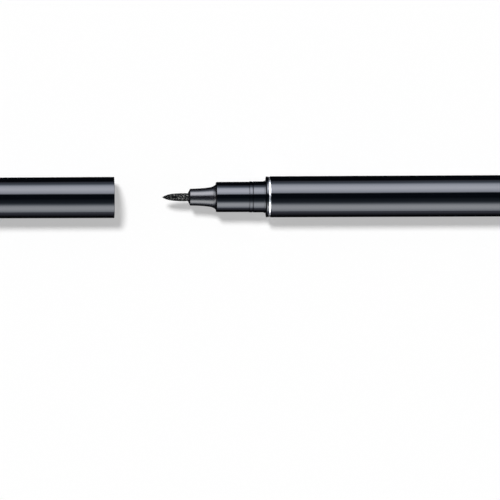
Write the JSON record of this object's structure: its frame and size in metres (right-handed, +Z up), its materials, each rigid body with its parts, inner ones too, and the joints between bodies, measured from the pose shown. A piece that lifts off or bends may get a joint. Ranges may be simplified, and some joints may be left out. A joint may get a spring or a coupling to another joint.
{
  "type": "liquid liner pen",
  "caption": "Slim black liner pen lying open in line with its pulled-off cap: fine brush tip, stepped grip, bright ring, drafted round barrel and a sprung seal inside the cap.",
  "frame": {"origin": "on the surface that the pen and its cap lie on, under the middle of the overall length", "axes": "+X along the pen from the brush towards the tail, +Z up from the surface, +Y to the pen's side"},
  "size_m": [0.1766, 0.0106, 0.0106],
  "materials": {
    "gloss_black": "high gloss black, injection moulded",
    "nozzle_black": "gloss black, slightly softer than the barrel",
    "chrome": "bright metallised",
    "fibre_black": "fine ink-stained synthetic bristles",
    "natural_plastic": "natural unpigmented plastic",
    "wick_fibre": "ink-soaked bonded fibre",
    "tank_plastic": "translucent natural plastic",
    "liner_plastic": "satin black",
    "seal_plastic": "soft white sealing plastic",
    "steel": "bright stainless steel"
  },
  "bodies": {
    "pen": {"barrel": "gloss_black", "tail_plug": "gloss_black", "trim_ring": "chrome", "grip": "gloss_black", "nozzle": "nozzle_black", "brush_tip": "fibre_black", "tip_holder": "natural_plastic", "wick_rod": "wick_fibre", "collector": "natural_plastic", "ink_tank": "tank_plastic"},
    "cap": {"cap_shell": "gloss_black", "cap_liner": "liner_plastic", "cap_spring": "steel"},
    "inner_cap": {"inner_cap": "seal_plastic"},
    "ball": {"mixing_ball": "steel"}
  },
  "joints": [
    {"name": "cap_slide", "type": "slide", "parent": "pen", "child": "cap", "axis": [1, 0, 0], "range_m": [0, 0.03869]},
    {"name": "inner_cap_slide", "type": "slide", "parent": "cap", "child": "inner_cap", "axis": [1, 0, 0], "range_m": [-0.002, 0], "stiffness_N_per_m": 150, "springref_m": 0.0033, "deforming": ["cap_spring"]},
    {"name": "ball_slide", "type": "slide", "parent": "pen", "child": "ball", "axis": [1, 0, 0], "range_m": [-0.04, 0.019]}
  ]
}
